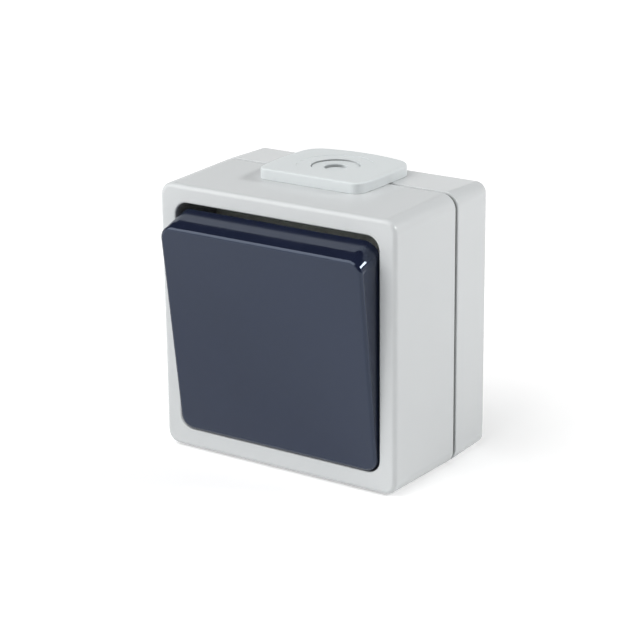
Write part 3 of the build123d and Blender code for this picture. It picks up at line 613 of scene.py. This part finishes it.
def drawn_metal(name, colour, dull_colour, roughness, dullness, look):
    """Strip or wire metal: drawing lines, clouds of tarnish and bright edges."""
    material, tree, shader = new_material(name)
    shader.inputs["Metallic"].default_value = 1.0
    lines = place_group(tree, "Drawn Metal", spacing=look.line_spacing, length=look.line_length)
    worn = place_group(tree, "Edge Wear", width=look.edge_width, break_size=look.edge_break)
    cloud = maths(tree, "MULTIPLY", lines["Cloud"], dullness)
    body = blend_colour(tree, cloud, tinted(colour), dull_colour)
    rub = maths(tree, "MULTIPLY", worn["Mask"], look.edge_share)
    bright = blend_colour(tree, rub, body, tinted(colour, look.edge_tone))
    tree.links.new(bright, shader.inputs["Base Color"])
    cloudy = roughness + look.cloud_roughness
    rough = span(tree, lines["Cloud"], 0.0, 1.0, roughness, cloudy)
    tree.links.new(rough, shader.inputs["Roughness"])
    bump(tree, shader, lines["Height"], look.line_depth)
    return material


# Pieces


def direction(azimuth, elevation):
    """A way out from the switch. Azimuth 0 is straight in front, and 90 degrees to the right."""
    flat = cos(elevation)
    return Vector((sin(azimuth) * flat, -cos(azimuth) * flat, sin(elevation)))


def cable_axis():
    """The foot of the upright axis of the grommet's cable hole."""
    entry = next(mount for mount in frame["record"]["mounts"] if mount["name"] == "cable_entry")
    return Vector((entry["pos_m"][0], entry["pos_m"][1], 0.0))


def dress(names, material):
    """Gives CAD nodes a material by their material slots."""
    for name in names:
        slots = frame["nodes"][name].material_slots
        if not slots:
            raise RuntimeError(f"{name} has no material slot")
        for slot in slots:
            slot.material = material


def new_piece(context, name, form, material):
    """An object from a finished bmesh, with its material."""
    mesh = bpy.data.meshes.new(name)
    form.to_mesh(mesh)
    form.free()
    mesh.materials.append(material)
    piece = bpy.data.objects.new(name, mesh)
    context.scene.collection.objects.link(piece)
    return piece


class LIGHTSWITCH_OT_housing(bpy.types.Operator):
    """Gives both housing halves their satin grey plastic"""

    bl_idname = "lightswitch.housing"
    bl_label = "Finish Housing"

    def execute(self, context):
        look = context.scene.switch_housing
        material = moulded_plastic("housing_satin", look.colour, look.roughness, look)
        dress(["base_box", "front_cover"], material)
        return {"FINISHED"}


class LIGHTSWITCH_OT_rocker(bpy.types.Operator):
    """Gives the rocker its dark high gloss plastic with faint waves and hairline marks"""

    bl_idname = "lightswitch.rocker"
    bl_label = "Finish Rocker"

    def execute(self, context):
        look = context.scene.switch_rocker
        material, tree, shader = new_material("rocker_gloss")
        skin = place_group(tree, "Moulded Grain", grain=look.wave, flow=look.flow)
        worn = place_group(tree, "Edge Wear", width=look.edge_width, break_size=look.edge_break)
        marks = place_group(
            tree,
            "Hairline Marks",
            spacing=look.mark_spacing,
            length=look.mark_length,
            patch=look.mark_patch,
        )
        darker, lighter = tinted(look.colour, -look.flow_tone), tinted(look.colour, look.flow_tone)
        body = blend_colour(tree, skin["Flow"], darker, lighter)
        rub = maths(tree, "MULTIPLY", worn["Mask"], look.edge_share)
        rubbed = blend_colour(tree, rub, body, tinted(look.colour, look.edge_tone))
        tree.links.new(rubbed, shader.inputs["Base Color"])
        polish = span(tree, skin["Flow"], 0.0, 1.0, look.smoothest, look.roughest)
        marked = maths(tree, "MULTIPLY_ADD", marks["Mask"], look.mark_roughness, polish)
        tree.links.new(marked, shader.inputs["Roughness"])
        shader.inputs["Specular Tint"].default_value = tinted(look.gloss_colour)
        shader.inputs["Specular IOR Level"].default_value = look.gloss_level
        bump(tree, shader, skin["Height"], look.wave_depth)
        dress(["rocker_button"], material)
        return {"FINISHED"}


class LIGHTSWITCH_OT_rubber(bpy.types.Operator):
    """Gives the grommet and the seals their matt elastomers, and paints shade into the grommet's grooves"""

    bl_idname = "lightswitch.rubber"
    bl_label = "Finish Rubber"

    def execute(self, context):
        look = context.scene.switch_rubber
        rows = (
            ("grommet_elastomer", look.grommet_colour, look.grommet_roughness, "cable_grommet"),
            ("seal_elastomer", look.seal_colour, look.seal_roughness, "insert_seal"),
            ("joint_seal_elastomer", look.joint_colour, look.joint_roughness, "joint_gasket"),
            ("mat_elastomer", look.mat_colour, look.mat_roughness, "well_seal"),
        )
        for name, colour, roughness, node in rows:
            dress([node], moulded_plastic(name, colour, roughness, look))
        # Painted shade: the walls of the grommet's step and cable hole are darkened in colour, darkest on one
        # side.
        top = GROMMET_HIGH.z
        step = (look.step_radius, top - look.step_drop)
        hole = (look.hole_radius, top - look.hole_drop)
        grommet = bpy.data.materials["grommet_elastomer"]
        painted_shade = tinted(look.grommet_colour, -look.painted_shade)
        side = direction(look.painted_shade_side, 0.0)
        groove_painted_shade(grommet, painted_shade, cable_axis(), (step, hole), side)
        return {"FINISHED"}


class LIGHTSWITCH_OT_insert(bpy.types.Operator):
    """Gives the socket, the cap, the cradle and the plunger their plastics"""

    bl_idname = "lightswitch.insert"
    bl_label = "Finish Insert"

    def execute(self, context):
        look = context.scene.switch_insert
        socket = moulded_plastic(
            "insert_thermoset", look.socket_colour, look.socket_roughness, look
        )
        cradle = moulded_plastic("cradle_acetal", look.cradle_colour, look.cradle_roughness, look)
        dress(["insert_socket", "insert_cap"], socket)
        dress(["rocker_cradle", "plunger"], cradle)
        return {"FINISHED"}


class LIGHTSWITCH_OT_metal(bpy.types.Operator):
    """Gives the strips, contacts, clamps, screws and spring their metals"""

    bl_idname = "lightswitch.metal"
    bl_label = "Finish Metal"

    def execute(self, context):
        look = context.scene.switch_metal
        brass = drawn_metal(
            "brass_strip",
            look.brass_colour,
            tinted(look.brass_tarnish),
            look.brass_roughness,
            look.brass_dullness,
            look,
        )
        silver = drawn_metal(
            "silver_contact",
            look.silver_colour,
            tinted(look.silver_colour, -look.silver_shade),
            look.silver_roughness,
            look.silver_dullness,
            look,
        )
        steel = drawn_metal(
            "steel_zinc",
            look.steel_colour,
            tinted(look.steel_colour, -look.steel_shade),
            look.steel_roughness,
            look.steel_dullness,
            look,
        )
        dress(["common_terminal", "upper_terminal", "lower_terminal"], brass)
        dress(["terminal_clamps", "contact_lever"], brass)
        dress(["fixed_contacts", "moving_contacts"], silver)
        dress(["cover_screws", "insert_screws", "terminal_screws"], steel)
        dress(["lever_pin", "plunger_spring"], steel)
        return {"FINISHED"}


class LIGHTSWITCH_OT_membrane(bpy.types.Operator):
    """Makes the thin membrane that closes the grommet's cable hole until it is cut"""

    bl_idname = "lightswitch.membrane"
    bl_label = "Make Membrane"

    def execute(self, context):
        sizes = context.scene.switch_membrane
        top = GROMMET_HIGH.z - sizes.drop
        axis = cable_axis()
        outline = (
            (0.0, top + sizes.crown),
            (sizes.radius * sizes.shoulder_reach, top + sizes.crown * sizes.shoulder_level),
            (sizes.radius * sizes.crown_end, top),
            (sizes.radius, top),
            (sizes.radius, top - sizes.thickness),
            (0.0, top - sizes.thickness),
        )
        form = bmesh.new()
        corners = [form.verts.new((axis.x + reach, axis.y, height)) for reach, height in outline]
        edges = [form.edges.new(pair) for pair in zip(corners, corners[1:])]
        bmesh.ops.spin(
            form,
            geom=corners + edges,
            cent=axis,
            axis=(0.0, 0.0, 1.0),
            angle=2 * pi,
            steps=sizes.segments,
            use_merge=True,
        )
        bmesh.ops.remove_doubles(form, verts=form.verts, dist=MERGE_DISTANCE)
        bmesh.ops.recalc_face_normals(form, faces=form.faces)
        material = bpy.data.materials["grommet_elastomer"]
        piece = new_piece(context, "grommet_membrane", form, material)
        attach(piece, "housing")
        return {"FINISHED"}


class LIGHTSWITCH_OT_spring(bpy.types.Operator):
    """Makes the plunger's coil spring in place of the model's, and attaches it to the rocker's body"""

    bl_idname = "lightswitch.spring"
    bl_label = "Make Spring"

    def execute(self, context):
        sizes = context.scene.switch_spring
        joints = {joint["name"]: joint for joint in frame["joints"]}
        pivot = Vector(joints["rocker_tilt"]["pos_m"])
        axis = Vector(joints["plunger_slide"]["axis"]).normalized()
        corners = frame["nodes"]["plunger_spring"].data.vertices
        reach = [(corner.co - pivot).dot(axis) for corner in corners]
        outer, inner = min(reach), max(reach)
        start = pivot + axis * (outer + sizes.wire / 2)
        form = self.coil(sizes, start, axis, inner - outer - sizes.wire)
        piece = new_piece(context, "return_spring", form, bpy.data.materials["steel_zinc"])
        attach(piece, "rocker")
        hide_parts("plunger_spring")
        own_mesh(piece)
        return {"FINISHED"}

    def coil(self, sizes, start, axis, rise):
        """A round wire wound about the axis, closed at both ends."""
        side = Vector((1.0, 0.0, 0.0))
        steps = sizes.turns * sizes.steps
        turn = 2 * pi * sizes.turns
        way = axis.cross(side) * sizes.radius * turn + axis * rise
        tilt = way.to_track_quat("Z", "X").to_matrix().to_4x4()
        place = Matrix.Translation(start + side * sizes.radius) @ tilt
        form = bmesh.new()
        bmesh.ops.create_circle(
            form,
            segments=sizes.segments,
            radius=sizes.wire / 2,
            matrix=place,
        )
        bmesh.ops.spin(
            form,
            geom=form.verts[:] + form.edges[:],
            cent=start,
            axis=axis,
            dvec=axis * rise / steps,
            angle=turn,
            steps=steps,
        )
        for face in form.faces:
            face.smooth = True
        bmesh.ops.holes_fill(form, edges=form.edges, sides=0)
        bmesh.ops.recalc_face_normals(form, faces=form.faces)
        return form


class LIGHTSWITCH_OT_marks(bpy.types.Operator):
    """Makes the ejector marks and the gate mark in the pockets of the housing's back"""

    bl_idname = "lightswitch.marks"
    bl_label = "Make Mould Marks"

    def execute(self, context):
        sizes = context.scene.switch_marks
        outer = BASE_HIGH.x - sizes.inset
        inner = sizes.middle
        spots = []
        for side in (1, -1):
            for end in (1, -1):
                spots.append((side * outer, end * outer))
                spots.append((side * inner, end * inner))
        self.make(context, "ejector_marks", spots, sizes.radius, sizes)
        self.make(context, "gate_mark", [(outer, -inner)], sizes.gate_radius, sizes)
        return {"FINISHED"}

    def make(self, context, name, spots, radius, sizes):
        """One object of round cupped marks that stand on the pockets' floor.

        Each mark is made in a mesh of its own, which keeps the order of points the same each run.
        """
        form = bmesh.new()
        single = bpy.data.meshes.new("single_mark")
        for x, z in spots:
            mark = self.mark(x, z, radius, sizes)
            mark.to_mesh(single)
            mark.free()
            form.from_mesh(single)
        bpy.data.meshes.remove(single)
        bmesh.ops.recalc_face_normals(form, faces=form.faces)
        piece = new_piece(context, name, form, bpy.data.materials["housing_satin"])
        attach(piece, "housing")

    def mark(self, x, z, radius, sizes):
        """A disc with a cup, its root sunk a little into the pocket's floor."""
        floor = BASE_HIGH.y - sizes.pocket
        sink = sizes.height / 2
        turn = Matrix.Rotation(-pi / 2, 4, "X")
        form = bmesh.new()
        made = bmesh.ops.create_circle(
            form,
            cap_ends=True,
            segments=sizes.segments,
            radius=radius,
            matrix=Matrix.Translation((x, floor - sink, z)) @ turn,
        )
        root = made["verts"][0].link_faces[:]
        raised = bmesh.ops.extrude_face_region(form, geom=root)
        top = next(item for item in raised["geom"] if isinstance(item, bmesh.types.BMFace))
        rim = top.edges[:]
        bmesh.ops.translate(form, vec=(0.0, sink + sizes.height, 0.0), verts=top.verts[:])
        bmesh.ops.inset_region(form, faces=[top], thickness=sizes.rim)
        bmesh.ops.inset_region(form, faces=[top], thickness=sizes.cup, depth=-sizes.cup)
        bmesh.ops.bevel(
            form,
            geom=rim,
            offset=sizes.height * sizes.rim_round,
            offset_type="OFFSET",
            segments=sizes.rim_steps,
            profile=0.5,
            affect="EDGES",
            material=-1,
        )
        return form


class LIGHTSWITCH_OT_stage(bpy.types.Operator):
    """Makes the floor, the surroundings, the lamps and the camera"""

    bl_idname = "lightswitch.stage"
    bl_label = "Make Stage"

    def execute(self, context):
        setting = context.scene.switch_stage
        self.floor(context, setting)
        self.world(context, setting)
        right_way = direction(setting.right_azimuth, setting.right_elevation)
        right_place = right_way * setting.right_distance
        right_size = (setting.right_width, setting.right_height)
        self.lamp(context, "right_softbox", right_place, right_size, setting.right_power)
        front_way = direction(setting.front_azimuth, setting.front_elevation)
        front_place = front_way * setting.front_distance
        front_size = (setting.front_width, setting.front_height)
        self.lamp(context, "front_softbox", front_place, front_size, setting.front_power)
        self.camera(context, setting)
        return {"FINISHED"}

    def floor(self, context, setting):
        """A pale floor just under the switch. The camera and reflections see it whiter."""
        height = cad_bounds[0].z - setting.floor_gap
        material, tree, shader = new_material("floor_paint")
        skin = place_group(
            tree, "Moulded Grain", grain=setting.floor_grain, flow=setting.floor_flow
        )
        darker = tinted(setting.floor_colour, -setting.floor_tone)
        lighter = tinted(setting.floor_colour, setting.floor_tone)
        tone = blend_colour(tree, skin["Flow"], darker, lighter)
        tree.links.new(tone, shader.inputs["Base Color"])
        shader.inputs["Roughness"].default_value = setting.floor_roughness
        shader.inputs["Specular IOR Level"].default_value = setting.floor_gloss
        path = tree.nodes.new("ShaderNodeLightPath").outputs
        seen = maths(tree, "MAXIMUM", path["Is Camera Ray"], path["Is Glossy Ray"])
        seen = maths(tree, "MAXIMUM", seen, path["Is Transmission Ray"])
        away = vector_maths(tree, "LENGTH", object_place(tree)).outputs["Value"]
        far_white = setting.floor_white + setting.far_white
        white = span(
            tree, away, setting.white_near, setting.white_far, setting.floor_white, far_white
        )
        shader.inputs["Emission Color"].default_value = WHITE
        tree.links.new(maths(tree, "MULTIPLY", seen, white), shader.inputs["Emission Strength"])
        form = bmesh.new()
        bmesh.ops.create_circle(
            form,
            cap_ends=True,
            segments=setting.floor_sides,
            radius=setting.floor_radius,
        )
        bmesh.ops.translate(form, vec=(0.0, 0.0, height), verts=form.verts)
        floor = new_piece(context, "floor", form, material)

    def world(self, context, setting):
        """Plain surroundings, bright near the horizon, darker overhead and behind a flag."""
        world = bpy.data.worlds.new("studio")
        world.use_nodes = True
        tree = world.node_tree
        tree.nodes.clear()
        place = add(tree, "ShaderNodeTexCoord").outputs["Generated"]
        height = add(tree, "ShaderNodeSeparateXYZ", {0: place}).outputs["Z"]
        low, high = setting.world_low, setting.world_high
        level = span(tree, height, setting.low_end, setting.high_start, low, high)
        flag = direction(setting.flag_azimuth, 0.0)
        facing = vector_maths(tree, "DOT_PRODUCT", place, flag).outputs["Value"]
        left = 1.0 - setting.flag_share
        shade = span(tree, facing, setting.flag_edge, setting.flag_core, 1.0, left)
        level = maths(tree, "MULTIPLY", level, shade)
        ground = add(tree, "ShaderNodeBackground", {"Color": WHITE, "Strength": level})
        output = add(tree, "ShaderNodeOutputWorld")
        tree.links.new(ground.outputs[0], output.inputs["Surface"])
        context.scene.world = world

    def lamp(self, context, name, place, size, power):
        """A rectangular soft lamp, placed from the middle of the switch and turned to it."""
        data = bpy.data.lights.new(name, "AREA")
        data.shape = "RECTANGLE"
        data.size, data.size_y = size
        data.energy = power
        lamp = bpy.data.objects.new(name, data)
        context.scene.collection.objects.link(lamp)
        low, high = cad_bounds
        lamp.location = (low + high) / 2 + place
        lamp.rotation_mode = "QUATERNION"
        lamp.rotation_quaternion = (-place).to_track_quat("-Z", "Y")
        lamp.visible_camera = False

    def camera(self, context, setting):
        """A camera at the angle of the photograph."""
        data = bpy.data.cameras.new("camera")
        data.lens = setting.lens
        data.sensor_width = SENSOR_WIDTH
        data.sensor_fit = "HORIZONTAL"
        data.clip_start = CLIP_NEAR
        data.clip_end = CLIP_FAR
        camera = bpy.data.objects.new("camera", data)
        context.scene.collection.objects.link(camera)
        back = direction(setting.azimuth, setting.elevation)
        level = Vector((cos(setting.azimuth), sin(setting.azimuth), 0.0))
        upright = back.cross(level)
        right = level * cos(setting.roll) + upright * sin(setting.roll)
        up = upright * cos(setting.roll) - level * sin(setting.roll)
        aim = Vector((0.0, -setting.aim_depth, 0.0))
        eye = aim + back * setting.distance - right * setting.slide_left - up * setting.slide_down
        axes = Matrix((right, up, back)).transposed().to_4x4()
        camera.matrix_world = Matrix.Translation(eye) @ axes
        context.scene.camera = camera
        context.scene.view_settings.view_transform = "Standard"


class LIGHTSWITCH_PT_panel(bpy.types.Panel):
    """Lists the steps and the values that they read"""

    bl_idname = "LIGHTSWITCH_PT_panel"
    bl_label = "Light Switch"
    bl_space_type = "VIEW_3D"
    bl_region_type = "UI"
    bl_category = "Light Switch"

    def draw(self, context):
        for step, setting_name, _ in STEPS:
            box = self.layout.box()
            box.operator(step.bl_idname)
            values = getattr(context.scene, setting_name)
            for name in values.bl_rna.properties.keys():
                if name not in ("rna_type", "name"):
                    box.prop(values, name)


STEPS = (
    (LIGHTSWITCH_OT_housing, "switch_housing", HousingFinish),
    (LIGHTSWITCH_OT_rocker, "switch_rocker", RockerFinish),
    (LIGHTSWITCH_OT_rubber, "switch_rubber", RubberFinish),
    (LIGHTSWITCH_OT_insert, "switch_insert", InsertFinish),
    (LIGHTSWITCH_OT_metal, "switch_metal", MetalFinish),
    (LIGHTSWITCH_OT_membrane, "switch_membrane", MembraneSizes),
    (LIGHTSWITCH_OT_spring, "switch_spring", SpringSizes),
    (LIGHTSWITCH_OT_marks, "switch_marks", MarkSizes),
    (LIGHTSWITCH_OT_stage, "switch_stage", StageSetting),
)


def register():
    for step, setting_name, group in STEPS:
        bpy.utils.register_class(group)
        setattr(bpy.types.Scene, setting_name, PointerProperty(type=group))
        bpy.utils.register_class(step)
    bpy.utils.register_class(LIGHTSWITCH_PT_panel)


def unregister():
    bpy.utils.unregister_class(LIGHTSWITCH_PT_panel)
    for step, setting_name, group in reversed(STEPS):
        bpy.utils.unregister_class(step)
        delattr(bpy.types.Scene, setting_name)
        bpy.utils.unregister_class(group)


def main():
    """Makes every finish, the small pieces and the stage."""
    register()
    bpy.ops.lightswitch.housing()
    bpy.ops.lightswitch.rocker()
    bpy.ops.lightswitch.rubber()
    bpy.ops.lightswitch.insert()
    bpy.ops.lightswitch.metal()
    bpy.ops.lightswitch.membrane()
    bpy.ops.lightswitch.spring()
    bpy.ops.lightswitch.marks()
    bpy.ops.lightswitch.stage()


if __name__ == "__main__":
    main()
